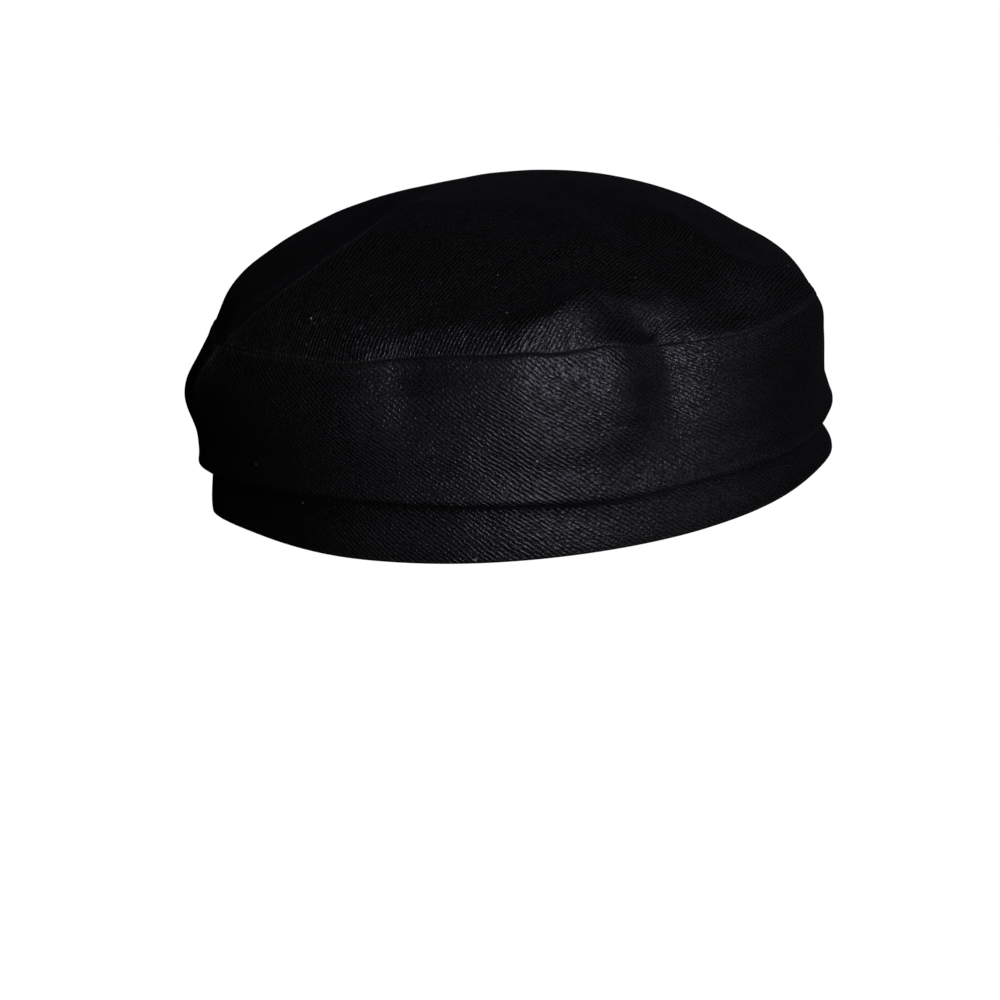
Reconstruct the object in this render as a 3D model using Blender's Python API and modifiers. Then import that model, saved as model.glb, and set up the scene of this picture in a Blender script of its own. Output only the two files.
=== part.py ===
"""Sailor cap: a soft, brimless cap of heavy black cotton twill, in three cloth pieces.

The cap stands on its hem at z = 0. -Y is the wearer's back, +Y the front and +X the wearer's right.
Every piece is a cloth wall lofted through the sections below and thickened inward.
"""

import bpy
import numpy as np

MM = 0.001

# Driving dimensions, in millimetres
WALL = 1.2            # thickness of the cloth
SEAM_GAP = 0.55       # between the crown's edge and the side band's
RIDGE_ANGLE = 203.0   # direction of the cap's left corner, in degrees from +X
SEGMENTS = 96         # round the cap, with one line of points on the corner

# One row for each level section of the cloth's outer face. "run" is the length of cloth up to it,
# z_* is its height and left, near, right and far its reach from the cap's axis in each direction.
# "shift" moves its middle towards the front. The tips stand out past the reach at the two ends
# along which the cap folds flat; "corner" is the left one's angle.
SECTION_COLUMNS = (
    "run", "z_left", "z_near", "z_right", "z_far", "left", "near", "right", "far",
    "shift", "tip_left", "tip_right", "corner",
)
HEADBAND_SECTIONS = (
    (0.0,   0.0,  0.0,  0.0,  0.0,  86.4, 86.6, 89.6, 92.0,   0, 11.4,  8.4, 183),
    (2.0,   2.0,  2.0,  2.0,  2.0,  86.4, 86.6, 89.6, 92.0,   0, 11.4,  8.4, 183),
    (11.0, 11.0, 11.0, 11.0, 11.0,  86.2, 85.8, 87.4, 91.4,   0, 10.4,  6.6, 183),
    (22.0, 22.0, 22.0, 22.0, 22.0,  85.4, 85.0, 86.4, 90.4,   0,  9.0,  5.0, 183),
)
BODY_SECTIONS = (
    # the lip, turned in close to the headband, and the fold over it
    (0.0,  16.2, 17.6, 15.2, 17.0,  86.2, 85.8, 87.3, 91.2,   0, 10.0,  6.2, 183),
    (2.5,  14.6, 16.2, 13.8, 15.8,  89.0, 89.2, 90.0, 94.2,   0,  8.8,  5.4, 184),
    (5.0,  16.2, 17.6, 15.8, 17.2,  90.6, 91.2, 92.0, 95.8,   0,  8.0,  5.2, 185),
    # the side band
    (17.0, 27.4, 28.2, 27.0, 28.0,  92.2, 91.8, 93.2, 97.2,   0,  7.0,  3.4, 186),
    (31.0, 41.0, 41.4, 39.6, 41.4,  94.2, 90.6, 93.6, 96.0,   0,  7.4,  3.0, 188),
    (42.0, 51.6, 51.8, 47.6, 50.6,  93.8, 88.6, 93.6, 92.4,   0,  4.4,  2.4, 195),
    (49.0, 58.2, 58.4, 53.0, 57.0,  91.0, 85.4, 91.6, 88.0,   0,  2.0,  1.4, 200),
    # the crown
    (57.0, 65.8, 64.8, 60.4, 63.8,  86.8, 79.8, 88.4, 82.4,   1,  0.8,  0.6, 202),
    (78.0, 77.4, 75.6, 73.0, 76.0,  72.4, 62.0, 72.8, 66.0,   4,  0.0,  0.0, 202),
    (102.0, 86.4, 84.8, 84.9, 85.8,  51.2, 41.0, 51.0, 47.0,   9,  0.0,  0.0, 202),
    (127.0, 91.6, 91.4, 91.8, 91.8,  27.0, 18.0, 28.0, 31.0,  13,  0.0,  0.0, 202),
    (152.0, 94.0, 94.0, 94.0, 94.0,   0.2, -14.8, 0.2, 15.2,  15,  0.0,  0.0, 202),
)
RIGHT_CORNER = 3.0    # angle of the right tip
TIP_SPREAD = 16.0     # degrees to each side that a tip reaches
TIP_FORM = 1.5
SEAM_RUN = 49.0
POLE_RUN = 152.0

# One row for each place where the seam or the lower fold rises above its section, or dips below
# it if negative: its angle and run, its height, and how many degrees and how much run it spreads.
WAVE_COLUMNS = ("angle", "run", "height", "degrees", "reach")
WAVES = (
    (228, 3, 2.8, 26, 12),
    (283, 3, -1.6, 12, 12),
    (237, 49, -1.2, 7, 12),
    (249, 49, 2.0, 9, 12),
    (259, 49, 0.8, 6, 12),
    (277, 49, -1.2, 7, 12),
    (300, 49, 1.2, 5, 10),
    (318, 49, -2.4, 14, 12),
)

# One row for each fold or dent. "rise" is how far it stands out, or in if negative; "left" and
# "right" are how far it spreads to each side, seen from outside going along it; "crest" is 1 for
# a sharp crease and 2 for a roll; the places it goes through are pairs of an angle and a run.
FOLD_COLUMNS = ("rise", "left", "right", "crest", "places")
FOLDS = (
    # the crown's sharp crease, from the left corner, and the hollow behind it
    (4.5, 3.0, 15.0, 1.0, ((208, 51), (216, 64), (221, 80), (225, 96), (222, 116))),
    (-4.5, 12.0, 12.0, 2.0, ((189, 54), (195, 72), (200, 92), (196, 112))),
    # the same crease down the side band, with its own hollow
    (3.0, 3.0, 10.0, 1.0, ((206, 48), (203, 42), (197, 34))),
    (-2.4, 5.0, 5.0, 2.0, ((196, 50), (192, 43))),
    # the roll over the seam, the fold that arches over a dent, the dent and the ridge above it
    (1.2, 9.0, 8.0, 2.0, ((238, 56), (255, 58), (270, 57))),
    (5.0, 6.0, 10.0, 1.6, ((274, 56), (281, 61), (286, 66))),
    (1.2, 3.0, 4.0, 1.5, ((287, 65), (294, 64), (300, 62))),
    (-3.8, 10.0, 9.0, 1.6, ((296, 58), (299, 52))),
    (2.4, 13.0, 10.0, 2.0, ((298, 76), (296, 96))),
    # the valley below the dent, in the side band, and a shallow dent, each with a soft roll
    (-5.8, 13.0, 12.0, 1.6, ((300, 52), (300, 42), (299, 32), (298, 26))),
    (1.6, 6.0, 9.0, 2.0, ((289, 46), (288, 26))),
    (-3.6, 16.0, 10.0, 2.0, ((248, 56), (250, 38))),
    (1.0, 8.0, 10.0, 1.6, ((269, 54), (270, 40), (272, 24))),
    # the soft ridge at the right and the hollow in front of it
    (2.8, 10.0, 9.0, 1.2, ((348, 50), (333, 60), (327, 73), (330, 95))),
    (-2.2, 13.0, 13.0, 2.0, ((317, 58), (312, 88))),
    # the puffed edge of the side band, right of the valley
    (1.2, 5.0, 7.0, 2.0, ((305, 50), (315, 50), (328, 50))),
    # gentle folds of the front
    (-2.8, 16.0, 16.0, 2.0, ((120, 56), (112, 96))),
    (2.4, 12.0, 12.0, 2.0, ((60, 54), (66, 92))),
    (-1.8, 14.0, 14.0, 2.0, ((90, 44), (92, 28))),
)
FOLD_STEPS = 12       # straight stretches along a fold's line
RUN_STEP = 0.5        # how far up and down the cloth its slope is measured
FOLD_END = 0.15       # how far into its rise a fold starts and ends
LIP_RUN = 9.0         # below this run the folds die out

# Runs of the rows of points of each piece
HEADBAND_ROWS = (0.0, 2.0, 11.0, 22.0)
SIDE_BAND_ROWS = (
    0.0, 1.6, 3.4, 6.4, 13.0, 22.0, 31.0, 39.0, 45.0, 48.0, SEAM_RUN - SEAM_GAP / 2,
)
CROWN_ROWS = (
    SEAM_RUN + SEAM_GAP / 2, 50.0, 53.0, 57.0, 62.5, 69.0, 76.0, 83.0, 90.0, 98.0, 106.0, 115.0,
    125.0, 136.0, 145.0,
)

COLLECTION = "sailor_cap"
CLOTH_COLOUR = (0.006, 0.0065, 0.009, 1.0)
CLOTH_ROUGHNESS = 0.85


def rows_of(table, columns):
    """The table's rows, each with its values by name."""
    return [dict(zip(columns, row)) for row in table]


def angle_between(angles, other):
    """How far each angle is past the other one, from -180 to 180 degrees."""
    return (np.asarray(angles) - other + 180.0) % 360.0 - 180.0


def tip(angles, corner):
    """A pointed swelling round one corner, 1 at its crest."""
    return np.exp(-((np.abs(angle_between(angles, corner)) / TIP_SPREAD) ** TIP_FORM))


def ring(section, angles):
    """The points of one section at these angles (degrees), in millimetres."""
    angles = np.asarray(angles, float) % 360.0
    c, s = np.cos(np.radians(angles)), np.sin(np.radians(angles))
    reach_x = np.where(c < 0, section["left"], section["right"])
    reach_y = np.where(s < 0, section["near"] + section["shift"], section["far"] - section["shift"])
    radius = 1 / np.hypot(c / reach_x, s / reach_y)
    radius += section["tip_left"] * tip(angles, section["corner"])
    radius += section["tip_right"] * tip(angles, RIGHT_CORNER)
    z_side = np.where(c < 0, section["z_left"], section["z_right"])
    z_end = np.where(s < 0, section["z_near"], section["z_far"])
    z = z_side * c**2 + z_end * s**2
    return np.stack([radius * c, radius * s + section["shift"], z], axis=-1)


def spline(knots, values, at):
    """A smooth curve through the values at the knots, read at these places."""
    slopes = np.gradient(values, knots, axis=0)
    i = np.clip(np.searchsorted(knots, at, side="right") - 1, 0, len(knots) - 2)
    width = (knots[i + 1] - knots[i])[:, None, None]
    t = (np.asarray(at) - knots[i])[:, None, None] / width
    start, end = values[i], values[i + 1]
    leaving, arriving = slopes[i] * width, slopes[i + 1] * width
    return (
        (1 + 2 * t) * (1 - t) ** 2 * start + t * (1 - t) ** 2 * leaving
        + t**2 * (3 - 2 * t) * end + t**2 * (t - 1) * arriving
    )


def smooth_surface(table, runs, angles):
    """Points of the lofted surface, a row for each run, before any fold."""
    sections = rows_of(table, SECTION_COLUMNS)
    knots = np.array([section["run"] for section in sections])
    rings = np.array([ring(section, angles) for section in sections])
    points = spline(knots, rings, runs)
    if table is BODY_SECTIONS:
        for wave in rows_of(WAVES, WAVE_COLUMNS):
            across = angle_between(angles, wave["angle"]) / wave["degrees"]
            along = ((np.asarray(runs) - wave["run"]) / wave["reach"])[:, None]
            points[..., 2] += wave["height"] * np.exp(-(across**2) - along**2)
    return points


def normals_of(points, up):
    """Outward unit normals of points whose rows close on themselves round the cap, and rise this way."""
    along = np.roll(points, -1, axis=1) - np.roll(points, 1, axis=1)
    normals = np.cross(along, up)
    return normals / np.maximum(np.linalg.norm(normals, axis=-1, keepdims=True), 1e-9)


def fold_line(places):
    """Points along a fold, on the surface before any fold."""
    each = np.arange(FOLD_STEPS + 1)
    knots = np.linspace(0, FOLD_STEPS, len(places))
    angles, runs = spline(knots, np.array(places, float)[:, None], each)[:, 0].T
    return smooth_surface(BODY_SECTIONS, runs, angles)[each, each]


def fold_rise(points, normals, runs):
    """How far the folds push each point out."""
    rise = np.zeros(points.shape[:2])
    for fold in rows_of(FOLDS, FOLD_COLUMNS):
        line = fold_line(fold["places"])
        starts, steps = line[:-1], np.diff(line, axis=0)
        ahead = ((points[:, :, None] - starts) * steps).sum(-1) / (steps**2).sum(-1)
        ahead = np.clip(ahead, 0, 1)
        offsets = points[:, :, None] - starts - ahead[..., None] * steps
        gaps = np.linalg.norm(offsets, axis=-1)
        nearest = gaps.argmin(axis=-1)[..., None]
        gap = np.take_along_axis(gaps, nearest, axis=-1)[..., 0]
        done = (nearest + np.take_along_axis(ahead, nearest, axis=-1))[..., 0] / FOLD_STEPS
        offset = np.take_along_axis(offsets, nearest[..., None], axis=2)[:, :, 0]
        step = steps[nearest[..., 0]]
        lean = (np.cross(step, offset) * normals).sum(-1)
        lean /= np.maximum(np.linalg.norm(step, axis=-1) * np.linalg.norm(offset, axis=-1), 1e-9)
        width = fold["right"] + (fold["left"] - fold["right"]) * (1 + np.clip(lean, -1, 1)) / 2
        fade = np.sin(np.pi * (FOLD_END + (1 - 2 * FOLD_END) * done)) ** 0.5
        rise += fold["rise"] * fade * np.exp(-((gap / width) ** fold["crest"]))
    above_lip = np.clip((np.asarray(runs) - LIP_RUN / 2) / LIP_RUN, 0, 1)
    return rise * (above_lip**2 * (3 - 2 * above_lip))[:, None]


def folded_surface(runs, angles):
    """Points of the side band or the crown, with their folds."""
    points = smooth_surface(BODY_SECTIONS, runs, angles)
    above, below = [
        smooth_surface(BODY_SECTIONS, np.asarray(runs) + step, angles) for step in (RUN_STEP, -RUN_STEP)
    ]
    normals = normals_of(points, above - below)
    return points + normals * fold_rise(points, normals, runs)[..., None]


def cloth_material(name):
    material = bpy.data.materials.new(name)
    material.use_nodes = True
    shader = material.node_tree.nodes["Principled BSDF"]
    shader.inputs["Base Color"].default_value = CLOTH_COLOUR
    shader.inputs["Roughness"].default_value = CLOTH_ROUGHNESS
    shader.inputs["Metallic"].default_value = 0.0
    return material


def add_cloth(name, points, collection, pole=None):
    """A cloth wall from rows of points, closed at the pole if one is given."""
    rows, columns = points.shape[:2]
    vertices = [tuple(p * MM) for p in points.reshape(-1, 3)]
    faces = []
    for row in range(rows - 1):
        for i in range(columns):
            j = (i + 1) % columns
            low, high = row * columns, (row + 1) * columns
            faces.append((low + i, low + j, high + j, high + i))
    if pole is not None:
        vertices.append(tuple(pole * MM))
        last = (rows - 1) * columns
        faces += [(last + i, last + (i + 1) % columns, len(vertices) - 1) for i in range(columns)]
    mesh = bpy.data.meshes.new(name)
    mesh.from_pydata(vertices, [], faces)
    mesh.materials.append(cloth_material(name + "_twill"))
    mesh.shade_smooth()
    piece = bpy.data.objects.new(name, mesh)
    collection.objects.link(piece)
    wall = piece.modifiers.new("cloth thickness", "SOLIDIFY")
    wall.thickness = WALL * MM
    wall.offset = -1.0
    return piece


def main():
    for old in list(bpy.data.objects):
        bpy.data.objects.remove(old, do_unlink=True)
    collection = bpy.data.collections.new(COLLECTION)
    bpy.context.scene.collection.children.link(collection)

    angles = RIDGE_ANGLE + np.arange(SEGMENTS) * 360.0 / SEGMENTS
    headband = smooth_surface(HEADBAND_SECTIONS, HEADBAND_ROWS, angles)
    side_band = folded_surface(SIDE_BAND_ROWS, angles)
    crown = folded_surface(CROWN_ROWS, angles)
    pole = smooth_surface(BODY_SECTIONS, [POLE_RUN], angles)[0].mean(axis=0)

    # The origin is under the middle of the whole cap.
    reach = np.concatenate([points[..., :2].reshape(-1, 2) for points in (headband, side_band, crown)])
    middle = np.array([*(reach.min(axis=0) + reach.max(axis=0)) / 2, 0.0])
    add_cloth("headband", headband - middle, collection)
    add_cloth("side_band", side_band - middle, collection)
    add_cloth("crown_top", crown - middle, collection, pole - middle)


main()
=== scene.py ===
"""Sailor cap: the looks of its three pieces of heavy black cotton twill, on a plain white floor."""
import math

import bpy
import numpy as np
from mathutils import Matrix, Vector, noise


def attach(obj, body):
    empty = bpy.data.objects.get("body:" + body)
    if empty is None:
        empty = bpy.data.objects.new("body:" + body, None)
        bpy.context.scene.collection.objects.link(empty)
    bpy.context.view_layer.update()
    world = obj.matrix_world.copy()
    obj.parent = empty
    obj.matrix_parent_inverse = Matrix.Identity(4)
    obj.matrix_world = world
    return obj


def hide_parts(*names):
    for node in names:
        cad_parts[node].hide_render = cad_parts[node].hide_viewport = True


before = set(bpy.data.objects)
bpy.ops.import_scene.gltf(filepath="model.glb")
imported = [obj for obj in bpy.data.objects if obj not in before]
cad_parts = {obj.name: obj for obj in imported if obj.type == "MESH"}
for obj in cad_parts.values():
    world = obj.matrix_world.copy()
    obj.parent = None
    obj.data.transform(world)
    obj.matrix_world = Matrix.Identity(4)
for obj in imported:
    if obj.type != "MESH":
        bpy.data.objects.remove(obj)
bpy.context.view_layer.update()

MM = 0.001

# ---------------------------------------------------- the cap's sections, in millimetres
WALL = 1.2            # thickness of the cloth
SEAM_GAP = 0.55       # between the crown's edge and the side band's
RIDGE_ANGLE = 203.0   # direction of the cap's left corner, in degrees from +X
SEGMENTS = 96         # points round the solids, one of them on the corner

# One row for each level section of the cloth's outer face. "run" is the length of cloth up to it,
# z_* is its height and left, near, right and far its reach from the cap's axis in each direction.
# "shift" moves its middle towards the front. The tips stand out past the reach at the two ends
# along which the cap folds flat; "corner" is the left one's angle.
SECTION_COLUMNS = (
    "run", "z_left", "z_near", "z_right", "z_far", "left", "near", "right", "far",
    "shift", "tip_left", "tip_right", "corner",
)
HEADBAND_SECTIONS = (
    (0.0,   0.0,  0.0,  0.0,  0.0,  86.4, 86.6, 89.6, 92.0,   0, 11.4,  8.4, 183),
    (2.0,   2.0,  2.0,  2.0,  2.0,  86.4, 86.6, 89.6, 92.0,   0, 11.4,  8.4, 183),
    (11.0, 11.0, 11.0, 11.0, 11.0,  86.2, 85.8, 87.4, 91.4,   0, 10.4,  6.6, 183),
    (22.0, 22.0, 22.0, 22.0, 22.0,  85.4, 85.0, 86.4, 90.4,   0,  9.0,  5.0, 183),
)
BODY_SECTIONS = (
    # the lip, turned in close to the headband, and the fold over it
    (0.0,  16.2, 17.6, 15.2, 17.0,  86.2, 85.8, 87.3, 91.2,   0, 10.0,  6.2, 183),
    (2.5,  14.6, 16.2, 13.8, 15.8,  89.0, 89.2, 90.0, 94.2,   0,  8.8,  5.4, 184),
    (5.0,  16.2, 17.6, 15.8, 17.2,  90.6, 91.2, 92.0, 95.8,   0,  8.0,  5.2, 185),
    # the side band
    (17.0, 27.4, 28.2, 27.0, 28.0,  92.2, 91.8, 93.2, 97.2,   0,  7.0,  3.4, 186),
    (31.0, 41.0, 41.4, 39.6, 41.4,  94.2, 90.6, 93.6, 96.0,   0,  7.4,  3.0, 188),
    (42.0, 51.6, 51.8, 47.6, 50.6,  93.8, 88.6, 93.6, 92.4,   0,  4.4,  2.4, 195),
    (49.0, 58.2, 58.4, 53.0, 57.0,  91.0, 85.4, 91.6, 88.0,   0,  2.0,  1.4, 200),
    # the crown
    (57.0, 65.8, 64.8, 60.4, 63.8,  86.8, 79.8, 88.4, 82.4,   1,  0.8,  0.6, 202),
    (78.0, 77.4, 75.6, 73.0, 76.0,  72.4, 62.0, 72.8, 66.0,   4,  0.0,  0.0, 202),
    (102.0, 86.4, 84.8, 84.9, 85.8,  51.2, 41.0, 51.0, 47.0,   9,  0.0,  0.0, 202),
    (127.0, 91.6, 91.4, 91.8, 91.8,  27.0, 18.0, 28.0, 31.0,  13,  0.0,  0.0, 202),
    (152.0, 94.0, 94.0, 94.0, 94.0,   0.2, -14.8, 0.2, 15.2,  15,  0.0,  0.0, 202),
)
RIGHT_CORNER = 3.0    # angle of the right tip
TIP_SPREAD = 16.0     # degrees to each side that a tip reaches
TIP_FORM = 1.5
SEAM_RUN = 49.0
POLE_RUN = 152.0

# One row for each place where the seam or the lower fold rises above its section, or dips below
# it if negative: its angle and run, its height, and how many degrees and how much run it spreads.
WAVE_COLUMNS = ("angle", "run", "height", "degrees", "reach")
WAVES = (
    (228, 3, 2.8, 26, 12),
    (283, 3, -1.6, 12, 12),
    (237, 49, -1.2, 7, 12),
    (249, 49, 2.0, 9, 12),
    (259, 49, 0.8, 6, 12),
    (277, 49, -1.2, 7, 12),
    (300, 49, 1.2, 5, 10),
    (318, 49, -2.4, 14, 12),
)

# One row for each fold or dent. "rise" is how far it stands out, or in if negative; "left" and
# "right" are how far it spreads to each side, seen from outside going along it; "crest" is 1 for
# a sharp crease and 2 for a roll; the places it goes through are pairs of an angle and a run.
FOLD_COLUMNS = ("rise", "left", "right", "crest", "places")
FOLDS = (
    # the crown's sharp crease, from the left corner, and the hollow behind it
    (4.5, 3.0, 15.0, 1.0, ((208, 51), (216, 64), (221, 80), (225, 96), (222, 116))),
    (-4.5, 12.0, 12.0, 2.0, ((189, 54), (195, 72), (200, 92), (196, 112))),
    # the same crease down the side band, with its own hollow
    (3.0, 3.0, 10.0, 1.0, ((206, 48), (203, 42), (197, 34))),
    (-2.4, 5.0, 5.0, 2.0, ((196, 50), (192, 43))),
    # the roll over the seam, the fold that arches over a dent, the dent and the ridge above it
    (1.2, 9.0, 8.0, 2.0, ((238, 56), (255, 58), (270, 57))),
    (5.0, 6.0, 10.0, 1.6, ((274, 56), (281, 61), (286, 66))),
    (1.2, 3.0, 4.0, 1.5, ((287, 65), (294, 64), (300, 62))),
    (-3.8, 10.0, 9.0, 1.6, ((296, 58), (299, 52))),
    (2.4, 13.0, 10.0, 2.0, ((298, 76), (296, 96))),
    # the valley below the dent, in the side band, and a shallow dent, each with a soft roll
    (-5.8, 13.0, 12.0, 1.6, ((300, 52), (300, 42), (299, 32), (298, 26))),
    (1.6, 6.0, 9.0, 2.0, ((289, 46), (288, 26))),
    (-3.6, 16.0, 10.0, 2.0, ((248, 56), (250, 38))),
    (1.0, 8.0, 10.0, 1.6, ((269, 54), (270, 40), (272, 24))),
    # the soft ridge at the right and the hollow in front of it
    (2.8, 10.0, 9.0, 1.2, ((348, 50), (333, 60), (327, 73), (330, 95))),
    (-2.2, 13.0, 13.0, 2.0, ((317, 58), (312, 88))),
    # the puffed edge of the side band, right of the valley
    (1.2, 5.0, 7.0, 2.0, ((305, 50), (315, 50), (328, 50))),
    # gentle folds of the front
    (-2.8, 16.0, 16.0, 2.0, ((120, 56), (112, 96))),
    (2.4, 12.0, 12.0, 2.0, ((60, 54), (66, 92))),
    (-1.8, 14.0, 14.0, 2.0, ((90, 44), (92, 28))),
)
FOLD_STEPS = 12       # straight stretches along a fold's line
RUN_STEP = 0.5        # how far up and down the cloth its slope is measured
FOLD_END = 0.15       # how far into its rise a fold starts and ends
LIP_RUN = 9.0         # below this run the folds die out

# Runs of the rows of points of the solids, for the middle of the cap's box
HEADBAND_ROWS = (0.0, 2.0, 11.0, 22.0)
SIDE_BAND_ROWS = (
    0.0, 1.6, 3.4, 6.4, 13.0, 22.0, 31.0, 39.0, 45.0, 48.0, SEAM_RUN - SEAM_GAP / 2,
)

# ---------------------------------------------------- what only the looks add, in millimetres
CREASE_ROUND = 0.3    # radius of a sharp crease's crest
SEAM_LAP = 0.2        # how far the turned edges at the seam press into each other
BAND_EDGE = SEAM_RUN + SEAM_LAP / 2       # run of the side band's turned edge there
CROWN_EDGE = SEAM_RUN - SEAM_LAP / 2      # and of the crown's

# Runs of the rows of points: single ones at the edges, where the cloth turns, and between them
# stretches, each with its start, its end and how far apart the rows are
HEM_RUNS = (0.0, 0.3, 0.8)
HEADBAND_STRETCHES = ((1.5, 22.0, 1.0),)
SIDE_BAND_STRETCHES = (
    (0.0, 2.8, 0.7), (2.8, 6.4, 0.36), (6.4, 8.0, 0.8), (8.0, 45.0, 1.1),
    (45.0, BAND_EDGE - 1.4, 0.7),
)
BAND_EDGE_RUNS = (-1.4, -0.9, -0.7, -0.5, -0.3, -0.12, 0.0)     # from the edge
CROWN_EDGE_RUNS = (0.0, 0.12, 0.3, 0.5, 0.7, 1.0)               # from the edge
CROWN_STRETCHES = ((CROWN_EDGE + 1.5, 96.0, 1.0), (96.0, 124.0, 1.4), (124.0, 148.0, 2.0))

ROUND = 720           # columns of points round a piece, a multiple of the largest stride below
# from which run on the crown uses only every second, fourth or eighth column
CROWN_STRIDES = ((0.0, 1), (98.0, 2), (122.0, 4), (136.0, 8))
# where the columns stand closer: angle, how much closer, and over how many degrees
DENSER = ((90, 2.0, 3), (213, 1.8, 14), (292, 0.8, 16))

# turned edges: how far from the edge they reach, and how deep they turn
HEM_TURN = (0.8, 0.4)
BAND_TURN = (0.9, 0.7)
CROWN_TURN = (1.0, 0.8)

# where the side band stands out further: run, reach and height
SEAM_SWELL = (BAND_EDGE - 1.5, 1.3, 0.35)     # over the turning inside it
FOLD_SWELL = (6.5, 2.4, 1.0)      # just above the lower fold, but for the flat side
FOLD_EDGE = (4.4, 2.4, 1.9)       # on the flat side only, where the fold has a sharp edge
FLAT_SIDE = 318.0                 # that side's direction
FLAT_SPREAD = 36.0                # and how many degrees it reaches to each side

# uneven relief of each piece: the size of the crinkles, and their height
HEADBAND_CRINKLES = ((24.0, 0.25),)
SIDE_BAND_CRINKLES = ((26.0, 0.5), (9.0, 0.16))
CROWN_CRINKLES = ((30.0, 0.6), (11.0, 0.2))
CALM_REACH = 20.0     # nearer than this to the crown's middle they die out

PUCKER = 0.3          # height of the puckers along the seam
PUCKER_LENGTH = 3.2   # from one to the next
PUCKER_SPREAD = 30.0  # from a place with high ones to one with low ones
PUCKER_REACH = 4.0    # how far from the seam they die out

JOIN_ANGLE = 90.0     # where the two bands' ends are joined, at the wearer's front
JOIN_WIDTH = 0.45     # half the width of the groove there
JOIN_DEPTH = 0.7
JOIN_TURN = (1.8, 1.2, 0.25)      # the turning to each side of it: distance, reach and height

# worn edges, on the seam's lips with painted highlight too: run, reach and how worn, from 0 to 1
HEM_WEAR = (0.2, 0.8, 0.4)
FOLD_WEAR = (4.5, 1.0, 0.3)
BAND_WEAR_AND_HIGHLIGHT = (BAND_EDGE - 0.7, 0.6, 0.25)
CROWN_WEAR_AND_HIGHLIGHT = (CROWN_EDGE + 0.6, 0.5, 0.2)
WEAR_AND_HIGHLIGHT_REACH = 0.5            # how far a sharp crease's wear and painted highlight reach to each side

# ---------------------------------------------------- the twill, in millimetres
PITCH = 1.18          # width of one wale
FLOAT_LENGTH = 1.5    # length of one float along it
BAND_WALES = -38.0    # direction of the bands' wales, in degrees from level, going to the right
CROWN_WALES = 58.0    # direction of the crown's wales, in degrees from +X on the flat cloth
CROWN_EASE = 0.3      # how much the seam draws in the crown's cloth at the near side
CROWN_SPREAD = 1.2    # how much that stretches it from the middle outwards
NEAR_ANGLE = 270.0    # the near side's middle
DRIFT = (20.0, 3.0)   # the wales' slow waves: their size, and how far they shift a wale
WOBBLE = (1.6, 0.6)   # the threads' own unevenness, in the same way
STREAKS = (1.0, 6.0)  # width of the uneven stretches of a wale, and how many times as long
GRAIN = (0.55, 1.7)   # the same of the single threads
GRAIN_HEIGHT = 2.2    # of the threads, over that of a wale
WALE_FORM = (1.0, 0.0)            # how sharp its grooves are, and the height in them
FLOAT_FORM = (0.5, 0.7)           # the same of the gaps between floats
RELIEF = 0.14         # height of a wale
PATCHES = 16.0        # size of the patches of uneven dye
SPECKLE = 0.7         # size of the speckle of light fibres
LINT_SPACING = 19.0   # of the places where a speck of lint may lie
LINT_FREE = 0.7       # share of them that have none
LINT_SIZE = 1.3       # of the largest speck, over the share that have one

DARK_AND_GROOVE_SHADE = (0.0025, 0.0025, 0.0025, 1.0)      # between the threads, where it also stands for painted shade
LIGHT = (0.0160, 0.0160, 0.0172, 1.0)     # on the crests
GROOVE_SHADE_TONE = 0.5                         # how much of LIGHT the threads' height brings, as painted shade in the grooves
SPECKLE_TONE = 1.2                        # and how much the light fibres
# of wear, and of painted highlight along the creases and the seam's lips
WORN_AND_HIGHLIGHT_COLOUR = (0.135, 0.135, 0.142, 1.0)
LINT_COLOUR = (0.80, 0.80, 0.80, 1.0)
ROUGH_HEIGHTS = (0.1, 0.6)                # between these heights of the threads
ROUGHNESS = (0.9, 0.32)                   # the roughness goes from the one to the other
GLOSS_INDEX = 2.0
GLOSS_TINT = (0.84, 0.805, 1.0, 1.0)
SHEEN = 0.055
SHEEN_ROUGHNESS = 0.4
SHEEN_TINT = (0.75, 0.78, 1.0, 1.0)

# ---------------------------------------------------- light and the photo's view
LIGHT_AIM = 0.045               # height that the lights are aimed at, in metres
# One row for each light. Azimuth 0 is on the camera's side and 90 on its right, both angles are in
# degrees, distance and size in metres and power in watts.
LIGHT_COLUMNS = ("name", "azimuth", "elevation", "distance", "size", "power")
LIGHTS = (
    ("key_light", 18, 14, 1.2, 0.4, 1.4),
    ("upper_light", 25, 30, 1.2, 0.4, 0.9),
    ("left_fill", -40, 5, 1.2, 0.4, 0.17),
    ("right_fill", 70, 6, 1.4, 0.8, 0.42),
    # a low one behind, which the cap hides from the photo's side
    ("back_light", 180, -3, 0.55, 0.06, 0.25),
)
FLOOR_REACH = 6.0               # from its middle to each side, in metres

PIXELS_PER_METRE = 3180.0       # at the cap's middle
DISTANCE = 0.75                 # from the camera to there, in metres
ELEVATION = math.radians(16.0)
ROLL = math.radians(5.3)
CENTRE_PIXEL = (524.0, 478.0)   # the hem's centre, in a picture of 1000 by 1000
PICTURE = 1000.0
SENSOR = 36.0


def rows_of(table, columns):
    """The table's rows, each with its values by name."""
    return [dict(zip(columns, row)) for row in table]


def angle_between(angles, other):
    """How far each angle is past the other one, from -180 to 180 degrees."""
    return (np.asarray(angles) - other + 180.0) % 360.0 - 180.0


def tip(angles, corner):
    """A pointed swelling round one corner, 1 at its crest."""
    return np.exp(-((np.abs(angle_between(angles, corner)) / TIP_SPREAD) ** TIP_FORM))


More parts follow.
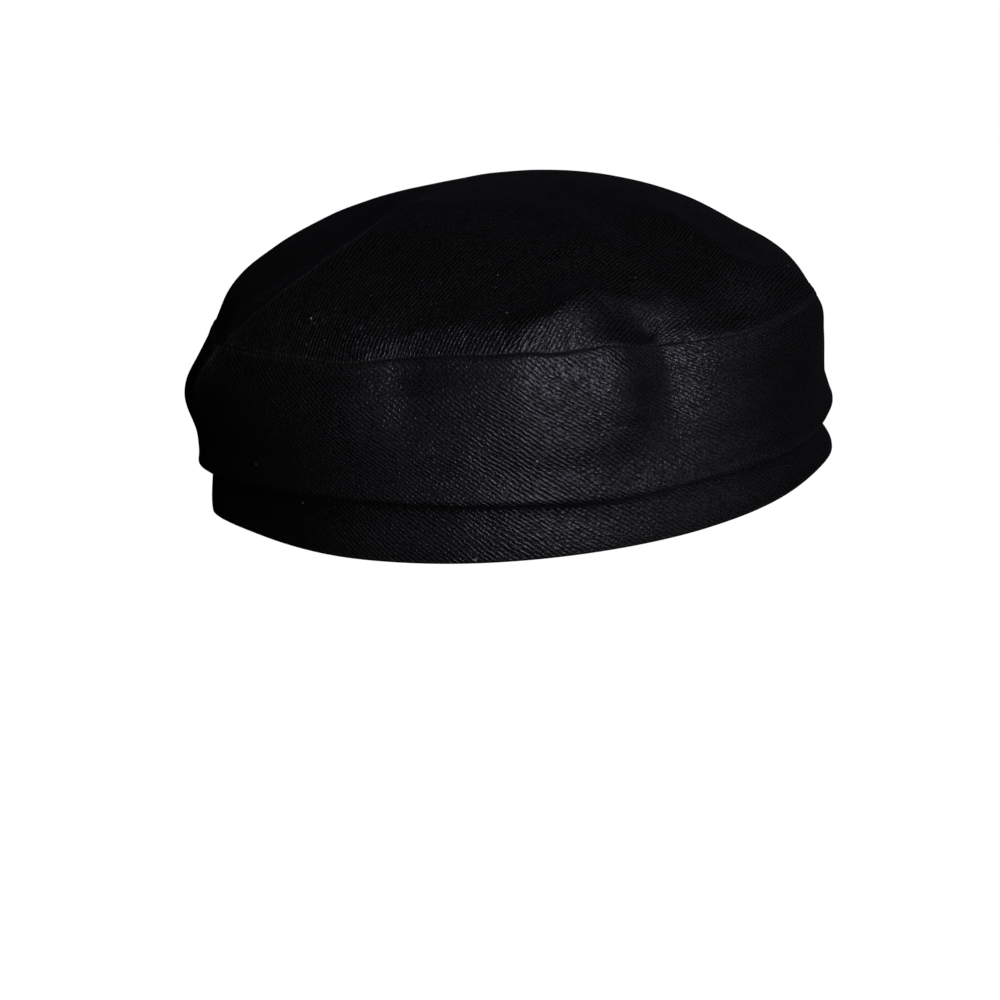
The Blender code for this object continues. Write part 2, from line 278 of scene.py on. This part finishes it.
def ring(section, angles):
    """The points of one section at these angles (degrees), in millimetres."""
    angles = np.asarray(angles, float) % 360.0
    c, s = np.cos(np.radians(angles)), np.sin(np.radians(angles))
    reach_x = np.where(c < 0, section["left"], section["right"])
    reach_y = np.where(s < 0, section["near"] + section["shift"], section["far"] - section["shift"])
    radius = 1 / np.hypot(c / reach_x, s / reach_y)
    radius += section["tip_left"] * tip(angles, section["corner"])
    radius += section["tip_right"] * tip(angles, RIGHT_CORNER)
    z_side = np.where(c < 0, section["z_left"], section["z_right"])
    z_end = np.where(s < 0, section["z_near"], section["z_far"])
    z = z_side * c**2 + z_end * s**2
    return np.stack([radius * c, radius * s + section["shift"], z], axis=-1)


def spline(knots, values, at):
    """A smooth curve through the values at the knots, read at these places."""
    slopes = np.gradient(values, knots, axis=0)
    i = np.clip(np.searchsorted(knots, at, side="right") - 1, 0, len(knots) - 2)
    width = (knots[i + 1] - knots[i])[:, None, None]
    t = (np.asarray(at) - knots[i])[:, None, None] / width
    start, end = values[i], values[i + 1]
    leaving, arriving = slopes[i] * width, slopes[i + 1] * width
    return (
        (1 + 2 * t) * (1 - t) ** 2 * start + t * (1 - t) ** 2 * leaving
        + t**2 * (3 - 2 * t) * end + t**2 * (t - 1) * arriving
    )


def smooth_surface(table, runs, angles):
    """Points of the lofted surface, a row for each run, before any fold."""
    sections = rows_of(table, SECTION_COLUMNS)
    knots = np.array([section["run"] for section in sections])
    rings = np.array([ring(section, angles) for section in sections])
    points = spline(knots, rings, runs)
    if table is BODY_SECTIONS:
        for wave in rows_of(WAVES, WAVE_COLUMNS):
            across = angle_between(angles, wave["angle"]) / wave["degrees"]
            along = ((np.asarray(runs) - wave["run"]) / wave["reach"])[:, None]
            points[..., 2] += wave["height"] * np.exp(-(across**2) - along**2)
    return points


def normals_of(points, up):
    """Outward unit normals of points whose rows close round the cap, and rise this way."""
    along = np.roll(points, -1, axis=1) - np.roll(points, 1, axis=1)
    normals = np.cross(along, up)
    return normals / np.maximum(np.linalg.norm(normals, axis=-1, keepdims=True), 1e-9)


def fold_line(places):
    """Points along a fold, on the surface before any fold."""
    each = np.arange(FOLD_STEPS + 1)
    knots = np.linspace(0, FOLD_STEPS, len(places))
    angles, runs = spline(knots, np.array(places, float)[:, None], each)[:, 0].T
    return smooth_surface(BODY_SECTIONS, runs, angles)[each, each]


def fold_rise(points, normals, runs):
    """How far the folds push each point out."""
    rise = np.zeros(points.shape[:2])
    for fold in rows_of(FOLDS, FOLD_COLUMNS):
        line = fold_line(fold["places"])
        starts, steps = line[:-1], np.diff(line, axis=0)
        ahead = ((points[:, :, None] - starts) * steps).sum(-1) / (steps**2).sum(-1)
        ahead = np.clip(ahead, 0, 1)
        offsets = points[:, :, None] - starts - ahead[..., None] * steps
        gaps = np.linalg.norm(offsets, axis=-1)
        nearest = gaps.argmin(axis=-1)[..., None]
        gap = np.take_along_axis(gaps, nearest, axis=-1)[..., 0]
        gap = np.hypot(gap, CREASE_ROUND) - CREASE_ROUND
        done = (nearest + np.take_along_axis(ahead, nearest, axis=-1))[..., 0] / FOLD_STEPS
        offset = np.take_along_axis(offsets, nearest[..., None], axis=2)[:, :, 0]
        step = steps[nearest[..., 0]]
        lean = (np.cross(step, offset) * normals).sum(-1)
        lean /= np.maximum(np.linalg.norm(step, axis=-1) * np.linalg.norm(offset, axis=-1), 1e-9)
        width = fold["right"] + (fold["left"] - fold["right"]) * (1 + np.clip(lean, -1, 1)) / 2
        fade = np.sin(np.pi * (FOLD_END + (1 - 2 * FOLD_END) * done)) ** 0.5
        rise += fold["rise"] * fade * np.exp(-((gap / width) ** fold["crest"]))
    above_lip = np.clip((np.asarray(runs) - LIP_RUN / 2) / LIP_RUN, 0, 1)
    return rise * (above_lip**2 * (3 - 2 * above_lip))[:, None]


def folded_surface(runs, angles):
    """Points of the side band or the crown, with their folds."""
    points = smooth_surface(BODY_SECTIONS, runs, angles)
    above, below = [
        smooth_surface(BODY_SECTIONS, np.asarray(runs) + step, angles)
        for step in (RUN_STEP, -RUN_STEP)
    ]
    normals = normals_of(points, above - below)
    return points + normals * fold_rise(points, normals, runs)[..., None]


def crease_wear_and_highlight(points):
    """How worn each point is by a sharp crease beside it, from 0 to 1, which also paints a
    highlight along the crease.
    """
    wear_and_highlight = np.zeros(points.shape[:2])
    for fold in rows_of(FOLDS, FOLD_COLUMNS):
        if fold["crest"] == 1.0:
            line = fold_line(fold["places"])
            starts, steps = line[:-1], np.diff(line, axis=0)
            ahead = ((points[:, :, None] - starts) * steps).sum(-1) / (steps**2).sum(-1)
            offsets = points[:, :, None] - starts - np.clip(ahead, 0, 1)[..., None] * steps
            gap = np.linalg.norm(offsets, axis=-1).min(axis=-1)
            wear_and_highlight = np.maximum(wear_and_highlight, np.exp(-((gap / WEAR_AND_HIGHLIGHT_REACH) ** 2)))
    return wear_and_highlight


def swelling(runs, middle, reach, height):
    """A round swelling along the cloth, a row for each run, of this height at its middle."""
    return height * np.exp(-(((np.asarray(runs) - middle) / reach) ** 2))[:, None]


def middle_of_cap():
    """The middle of the cap's box, seen from above, which is where the frame has its origin."""
    angles = RIDGE_ANGLE + np.arange(SEGMENTS) * 360.0 / SEGMENTS
    pieces = (
        smooth_surface(HEADBAND_SECTIONS, HEADBAND_ROWS, angles),
        folded_surface(SIDE_BAND_ROWS, angles),
    )
    reach = np.concatenate([points[..., :2].reshape(-1, 2) for points in pieces])
    return np.array([*(reach.min(axis=0) + reach.max(axis=0)) / 2, 0.0])


def columns_round():
    """Angles of the columns of points, closer together at the join, the crease and the dent."""
    fine = np.linspace(JOIN_ANGLE, JOIN_ANGLE + 360.0, 3601)
    density = np.ones_like(fine)
    for angle, closer, degrees in DENSER:
        density += closer * np.exp(-((angle_between(fine, angle) / degrees) ** 2))
    count = np.concatenate([[0], np.cumsum((density[1:] + density[:-1]) / 2)])
    return np.interp(np.arange(ROUND) / ROUND * count[-1], count, fine)


def spaced(stretches):
    """Evenly spaced runs along each stretch, from its start to just before its end."""
    return np.concatenate([
        np.linspace(start, end, max(1, round((end - start) / step)), endpoint=False)
        for start, end, step in stretches
    ])


def edge_roll(runs, edge, turn):
    """How far a turned edge sinks, a row for each run: a quarter round of its reach and depth."""
    reach, depth = turn
    near = np.clip(1 - np.abs(np.asarray(runs) - edge) / reach, 0, 1)
    return (depth * (1 - np.sqrt(1 - near**2)))[:, None]


def crinkle(points, crinkles):
    """Uneven, soft relief of the cloth, from smooth noise of these sizes and heights."""
    relief = np.zeros(points.shape[:2])
    for size, height in crinkles:
        values = [noise.noise(Vector(p)) for p in points.reshape(-1, 3) / size]
        relief += height * np.array(values).reshape(points.shape[:2])
    return relief


def puckers(seam, runs):
    """Small pleats that the seam, given as its row of points, draws the cloth into."""
    around = np.cumsum(np.linalg.norm(np.roll(seam, -1, axis=0) - seam, axis=1))
    pleats = np.array([noise.noise(Vector((a / PUCKER_LENGTH, 0.0, 7.0))) for a in around])
    spread = np.array([noise.noise(Vector((a / PUCKER_SPREAD, 5.0, 0.0))) for a in around])
    fade = np.exp(-((np.abs(np.asarray(runs) - SEAM_RUN) / PUCKER_REACH) ** 1.5))
    return PUCKER * fade[:, None] * pleats * (0.8 + spread)


def join_groove(angles, points):
    """The groove where a band's two ends are sewn together."""
    reach = np.hypot(points[..., 0], points[..., 1])
    across = reach * np.radians(angle_between(angles, JOIN_ANGLE))
    distance, turn_reach, height = JOIN_TURN
    turning = height * np.exp(-((np.abs(across) - distance) / turn_reach) ** 2)
    return turning - JOIN_DEPTH * np.exp(-((across / JOIN_WIDTH) ** 2))


def pushed(points, rise):
    """The points moved out along their normals."""
    return points + normals_of(points, np.gradient(points, axis=0)) * rise[..., None]


# ---------------------------------------------------- meshes
def arc_round(points):
    """Length of cloth from the join to each column and right round, along the middle row."""
    row = points[len(points) // 2]
    steps = np.linalg.norm(np.roll(row, -1, axis=0) - row, axis=1)
    return np.concatenate([[0], np.cumsum(steps)])


def grid_faces(strides):
    """Corners (row, column) of the faces between rows that use every stride-th of the columns."""
    faces = []
    for row in range(len(strides) - 1):
        step, above = strides[row], strides[row + 1]
        for i in range(0, ROUND, above):
            low = [(row, i + k) for k in range(0, above + 1, step)]
            high = [(row + 1, i + above), (row + 1, i)]
            if above == step:
                faces.append(low + high)
            else:
                faces.append([low[0], low[1], high[1]])
                faces.append([low[1], low[2], high[0], high[1]])
    return faces


def add_piece(name, points, weave, wear_and_highlight, material, node, strides=None, pole=None):
    """A cloth wall from rows of points, with its corners' places on the flat cloth and its wear,
    with painted highlight on the creases and the seam's lips.
    """
    strides = strides or [1] * len(points)
    used = [(row, i) for row in range(len(points)) for i in range(0, ROUND, strides[row])]
    index = {place: n for n, place in enumerate(used)}
    vertices = [tuple(points[row, i]) for row, i in used]
    corners = grid_faces(strides)
    if pole is not None:
        vertices.append(tuple(pole))
        last = len(points) - 1
        corners += [
            [(last, i), (last, i + strides[-1]), None] for i in range(0, ROUND, strides[-1])
        ]
    faces = [
        [len(used) if place is None else index[(place[0], place[1] % ROUND)] for place in face]
        for face in corners
    ]
    mesh = bpy.data.meshes.new(name)
    mesh.from_pydata((np.array(vertices) * MM).tolist(), [], faces)
    places = np.array([weave(place) for face in corners for place in face])
    mesh.uv_layers.new(name="weave").data.foreach_set("uv", places.ravel())
    # how worn each point is, with painted highlight along the creases and the seam's lips, kept for
    # the material
    worn_and_highlit = [wear_and_highlight[row, i] for row, i in used] + [0.0] * (len(vertices) - len(used))
    mesh.attributes.new("wear_and_highlight", "FLOAT", "POINT").data.foreach_set("value", worn_and_highlit)
    mesh.materials.append(material)
    mesh.shade_smooth()
    piece = bpy.data.objects.new(name, mesh)
    bpy.context.scene.collection.objects.link(piece)
    wall = piece.modifiers.new("cloth thickness", "SOLIDIFY")
    wall.thickness = WALL * MM
    wall.offset = -1.0
    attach(piece, "root")
    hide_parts(node)


def add_headband(angles, middle):
    runs = np.concatenate([HEM_RUNS, spaced(HEADBAND_STRETCHES), HEADBAND_ROWS[-1:]])
    points = smooth_surface(HEADBAND_SECTIONS, runs, angles) - middle
    relief = crinkle(points, HEADBAND_CRINKLES) - edge_roll(runs, 0.0, HEM_TURN)
    relief += join_groove(angles, points)
    points = pushed(points, relief)
    # the hem stands flat on the floor
    points[:, :, 2] = np.maximum(points[:, :, 2], 0.0)
    points[0, :, 2] = 0.0
    around = arc_round(points)
    add_piece(
        "headband_cloth", points, lambda place: (around[place[1]], runs[place[0]]),
        swelling(runs, *HEM_WEAR) * np.ones(ROUND),
        twill("headband_twill", BAND_WALES), "headband",
    )


def add_side_band(angles, middle):
    runs = np.concatenate([spaced(SIDE_BAND_STRETCHES), BAND_EDGE + np.array(BAND_EDGE_RUNS)])
    points = folded_surface(runs, angles) - middle
    wear_and_highlight = crease_wear_and_highlight(smooth_surface(BODY_SECTIONS, runs, angles))
    wear_and_highlight = np.maximum(wear_and_highlight, swelling(runs, *FOLD_WEAR))
    wear_and_highlight = np.maximum(wear_and_highlight, swelling(runs, *BAND_WEAR_AND_HIGHLIGHT))
    relief = crinkle(points, SIDE_BAND_CRINKLES) + puckers(points[-1], runs)
    relief += join_groove(angles, points)
    # all of this dies out on the lip, which lies close to the headband
    relief *= np.clip(runs / LIP_RUN, 0, 1)[:, None]
    relief += swelling(runs, *SEAM_SWELL) - edge_roll(runs, BAND_EDGE, BAND_TURN)
    flat_side = np.exp(-((angle_between(angles, FLAT_SIDE) / FLAT_SPREAD) ** 4))
    points = pushed(points, relief + swelling(runs, *FOLD_SWELL) * (1 - flat_side))
    out = swelling(runs, *FOLD_EDGE) * flat_side
    points[..., :2] *= (1 + out / np.hypot(points[..., 0], points[..., 1]))[..., None]
    around = arc_round(points)
    add_piece(
        "side_band_cloth", points, lambda place: (around[place[1]], runs[place[0]]), wear_and_highlight,
        twill("side_band_twill", BAND_WALES), "side_band",
    )


def add_crown(angles, middle):
    runs = np.concatenate([CROWN_EDGE + np.array(CROWN_EDGE_RUNS), spaced(CROWN_STRETCHES)])
    strides = [max(stride for start, stride in CROWN_STRIDES if run >= start) for run in runs]
    points = folded_surface(runs, angles) - middle
    wear_and_highlight = crease_wear_and_highlight(smooth_surface(BODY_SECTIONS, runs, angles))
    wear_and_highlight = np.maximum(wear_and_highlight, swelling(runs, *CROWN_WEAR_AND_HIGHLIGHT))
    pole = smooth_surface(BODY_SECTIONS, [POLE_RUN], angles)[0].mean(axis=0) - middle
    relief = crinkle(points, CROWN_CRINKLES) + puckers(points[0], runs)
    relief *= np.clip((POLE_RUN - runs) / CALM_REACH, 0, 1)[:, None]
    points = pushed(points, relief - edge_roll(runs, CROWN_EDGE, CROWN_TURN))

    def weave(place):
        """Places on the flat disc that the crown is cut from."""
        if place is None:
            return 0.0, 0.0
        radius = CROWN_SPREAD * (POLE_RUN - runs[place[0]])
        from_near = math.radians(angles[place[1] % ROUND] - NEAR_ANGLE)
        angle = math.radians(NEAR_ANGLE) + from_near - CROWN_EASE * math.sin(from_near)
        return radius * math.cos(angle), radius * math.sin(angle)

    add_piece(
        "crown_cloth", points, weave, wear_and_highlight, twill("crown_twill", CROWN_WALES), "crown_top",
        strides, pole,
    )


# ---------------------------------------------------- materials
def put(tree, kind, inputs=None, **settings):
    """A shader node with these settings, its inputs linked or set."""
    made = tree.nodes.new(kind)
    for key, value in settings.items():
        setattr(made, key, value)
    for key, value in (inputs or {}).items():
        if isinstance(value, bpy.types.NodeSocket):
            tree.links.new(value, made.inputs[key])
        else:
            made.inputs[key].default_value = value
    return made


def maths(tree, operation, *values):
    """The result of one sum on numbers or sockets."""
    return put(tree, "ShaderNodeMath", dict(enumerate(values)), operation=operation).outputs[0]


def ridges(tree, value, sharpness, low):
    """Rounded ridges with narrow grooves between them, one for each whole number, from low to 1."""
    turned = maths(tree, "ABSOLUTE", maths(tree, "SINE", maths(tree, "MULTIPLY", value, math.pi)))
    return maths(tree, "MULTIPLY_ADD", maths(tree, "POWER", turned, sharpness), 1 - low, low)


def specks(tree, place, size, detail, longer=1.0):
    """Smooth noise of about this size in millimetres, and so many times as long along X."""
    scale = (1 / (size * longer), 1 / size, 1 / size)
    scaled = put(
        tree, "ShaderNodeVectorMath", {0: place, 1: scale}, operation="MULTIPLY",
    ).outputs[0]
    return put(tree, "ShaderNodeTexNoise", {"Vector": scaled, "Scale": 1.0, "Detail": detail})


def shifted(tree, vectors, place, unevenness, detail):
    """The vectors shifted by smooth noise at their place, of this size and this far."""
    size, amount = unevenness
    away = specks(tree, place, size, detail).outputs["Color"]
    return put(
        tree, "ShaderNodeVectorMath", {0: away, 1: (amount, amount, 0.0), 2: vectors},
        operation="MULTIPLY_ADD",
    ).outputs[0]


def blend(tree, factor, low, high):
    """The colour between two, each of them a colour or a socket."""
    return put(
        tree, "ShaderNodeMix", {"Factor": factor, "A": low, "B": high}, data_type="RGBA",
        clamp_factor=True,
    ).outputs["Result"]


def lint(tree, place):
    """Where a few tiny specks of lint lie: 1 on a speck, 0 elsewhere."""
    cells = put(
        tree, "ShaderNodeTexVoronoi",
        {"Vector": place, "Scale": 1 / LINT_SPACING, "Randomness": 1.0}, voronoi_dimensions="2D",
    )
    # one cell in a few has its speck, of its own size
    chance = put(tree, "ShaderNodeSeparateColor", {0: cells.outputs["Color"]}).outputs["Red"]
    over = maths(tree, "SUBTRACT", chance, LINT_FREE)
    size = maths(tree, "MULTIPLY", over, LINT_SIZE / LINT_SPACING)
    return maths(tree, "LESS_THAN", cells.outputs["Distance"], size)


def twill(name, direction):
    """Black cotton twill: wales in this direction, of short floats, with lighter, bluish crests
    above painted shade between the threads.
    """
    material = bpy.data.materials.new(name)
    material.use_nodes = True
    tree = material.node_tree
    shader = tree.nodes["Principled BSDF"]

    place = put(tree, "ShaderNodeUVMap", uv_map="weave").outputs["UV"]
    drifted = shifted(tree, place, place, DRIFT, 1.0)
    moved = shifted(tree, drifted, place, WOBBLE, 2.0)
    turned = put(
        tree, "ShaderNodeVectorRotate", {"Vector": moved, "Angle": math.radians(-direction)},
        rotation_type="Z_AXIS",
    ).outputs[0]
    parts = put(tree, "ShaderNodeSeparateXYZ", {0: turned})
    across = maths(tree, "DIVIDE", parts.outputs["Y"], PITCH)
    wale = ridges(tree, across, *WALE_FORM)
    # each wale is a row of short floats, which start anywhere along it
    start = put(
        tree, "ShaderNodeTexWhiteNoise", {"W": maths(tree, "FLOOR", across)},
        noise_dimensions="1D",
    ).outputs["Value"]
    along = maths(tree, "ADD", maths(tree, "DIVIDE", parts.outputs["X"], FLOAT_LENGTH), start)
    floats = ridges(tree, along, *FLOAT_FORM)
    streaks = specks(tree, turned, STREAKS[0], 2.0, STREAKS[1]).outputs["Fac"]
    grain = specks(tree, turned, GRAIN[0], 1.0, GRAIN[1]).outputs["Fac"]
    height = maths(tree, "MULTIPLY", wale, floats)
    height = maths(tree, "MULTIPLY", height, maths(tree, "ADD", streaks, 0.5))
    height = maths(tree, "MULTIPLY_ADD", maths(tree, "SUBTRACT", grain, 0.5), GRAIN_HEIGHT, height)
    bump = put(tree, "ShaderNodeBump", {"Height": height, "Distance": RELIEF * MM, "Strength": 1.0})
    tree.links.new(bump.outputs[0], shader.inputs["Normal"])

    # darker between the threads as painted shade, lighter on them and on single fibres, and in
    # patches
    patches = specks(tree, place, PATCHES, 3.0).outputs["Fac"]
    speckle = maths(tree, "POWER", specks(tree, place, SPECKLE, 2.0).outputs["Fac"], 3.0)
    speckle = maths(tree, "MULTIPLY", speckle, SPECKLE_TONE)
    tone_and_groove_shade = maths(tree, "MULTIPLY_ADD", height, GROOVE_SHADE_TONE, speckle)
    tone_and_groove_shade = maths(tree, "MULTIPLY", tone_and_groove_shade, maths(tree, "ADD", patches, 0.5))
    # wear, with painted highlight along the creases and the seam's lips, lightens the colour
    wear_and_highlight = put(tree, "ShaderNodeAttribute", attribute_name="wear_and_highlight").outputs["Fac"]
    worn_and_highlit = maths(tree, "MULTIPLY", wear_and_highlight, maths(tree, "ADD", patches, 0.1))
    colour = blend(tree, worn_and_highlit, blend(tree, tone_and_groove_shade, DARK_AND_GROOVE_SHADE, LIGHT), WORN_AND_HIGHLIGHT_COLOUR)
    colour = blend(tree, lint(tree, place), colour, LINT_COLOUR)
    tree.links.new(colour, shader.inputs["Base Color"])
    # glossier on the threads than between them
    ends = dict(zip(("From Min", "From Max", "To Min", "To Max"), ROUGH_HEIGHTS + ROUGHNESS))
    rough = put(tree, "ShaderNodeMapRange", {"Value": height, **ends}).outputs["Result"]
    tree.links.new(rough, shader.inputs["Roughness"])
    shader.inputs["IOR"].default_value = GLOSS_INDEX
    shader.inputs["Specular Tint"].default_value = GLOSS_TINT
    shader.inputs["Sheen Weight"].default_value = SHEEN
    shader.inputs["Sheen Roughness"].default_value = SHEEN_ROUGHNESS
    shader.inputs["Sheen Tint"].default_value = SHEEN_TINT
    return material


def white_floor():
    """A plain white that shines by itself, so that it looks white under weak lights."""
    material = bpy.data.materials.new("floor_white")
    material.use_nodes = True
    shader = material.node_tree.nodes["Principled BSDF"]
    shader.inputs["Base Color"].default_value = (0.3, 0.3, 0.3, 1.0)
    shader.inputs["Roughness"].default_value = 0.9
    shader.inputs["Emission Color"].default_value = (1.0, 1.0, 1.0, 1.0)
    shader.inputs["Emission Strength"].default_value = 1.0
    return material


# ---------------------------------------------------- stage, light and camera
def add_floor():
    """A plain floor and a backdrop, which look white and don't light the cap."""
    mesh = bpy.data.meshes.new("floor")
    ways = ((-1, -1), (1, -1), (1, 1), (-1, 1))
    mesh.from_pydata([(x * FLOOR_REACH, y * FLOOR_REACH, 0) for x, y in ways], [], [(0, 1, 2, 3)])
    mesh.materials.append(white_floor())
    floor = bpy.data.objects.new("floor", mesh)
    bpy.context.scene.collection.objects.link(floor)
    floor.visible_diffuse = False
    floor.visible_glossy = False
    world = bpy.data.worlds.new("backdrop")
    world.use_nodes = True
    world.node_tree.nodes["Background"].inputs["Color"].default_value = (1.0, 1.0, 1.0, 1.0)
    bpy.context.scene.world = world
    world.cycles_visibility.diffuse = False
    world.cycles_visibility.glossy = False


def add_lights():
    """Round soft lights aimed at the cap."""
    for row in rows_of(LIGHTS, LIGHT_COLUMNS):
        light = bpy.data.lights.new(row["name"], "AREA")
        light.shape = "DISK"
        light.size = row["size"]
        light.energy = row["power"]
        lamp = bpy.data.objects.new(row["name"], light)
        bpy.context.scene.collection.objects.link(lamp)
        a, e = math.radians(row["azimuth"]), math.radians(row["elevation"])
        away = Vector((math.sin(a) * math.cos(e), -math.cos(a) * math.cos(e), math.sin(e)))
        lamp.location = Vector((0, 0, LIGHT_AIM)) + away * row["distance"]
        lamp.rotation_euler = away.to_track_quat("Z", "Y").to_euler()
        lamp.visible_camera = False


def add_camera(middle):
    """The camera that saw the hem's centre at its pixel, at the photo's angle and distance."""
    ahead = Vector((0, math.cos(ELEVATION), -math.sin(ELEVATION)))
    level, steep = Vector((1, 0, 0)), Vector((0, math.sin(ELEVATION), math.cos(ELEVATION)))
    right = level * math.cos(ROLL) - steep * math.sin(ROLL)
    up = steep * math.cos(ROLL) + level * math.sin(ROLL)
    off_x, off_y = [(pixel - PICTURE / 2) / PIXELS_PER_METRE for pixel in CENTRE_PIXEL]
    target = -Vector(middle) * MM - right * off_x + up * off_y
    camera = bpy.data.objects.new("camera", bpy.data.cameras.new("camera"))
    camera.data.sensor_width = SENSOR
    camera.data.lens = SENSOR * DISTANCE * PIXELS_PER_METRE / PICTURE
    place = target - ahead * DISTANCE
    camera.matrix_world = Matrix((
        (right.x, up.x, -ahead.x, place.x), (right.y, up.y, -ahead.y, place.y),
        (right.z, up.z, -ahead.z, place.z), (0, 0, 0, 1),
    ))
    bpy.context.scene.collection.objects.link(camera)
    bpy.context.scene.camera = camera


def main():
    middle = middle_of_cap()
    angles = columns_round()
    add_headband(angles, middle)
    add_side_band(angles, middle)
    add_crown(angles, middle)
    add_floor()
    add_lights()
    add_camera(middle)
    bpy.context.scene.view_settings.view_transform = "Standard"


main()
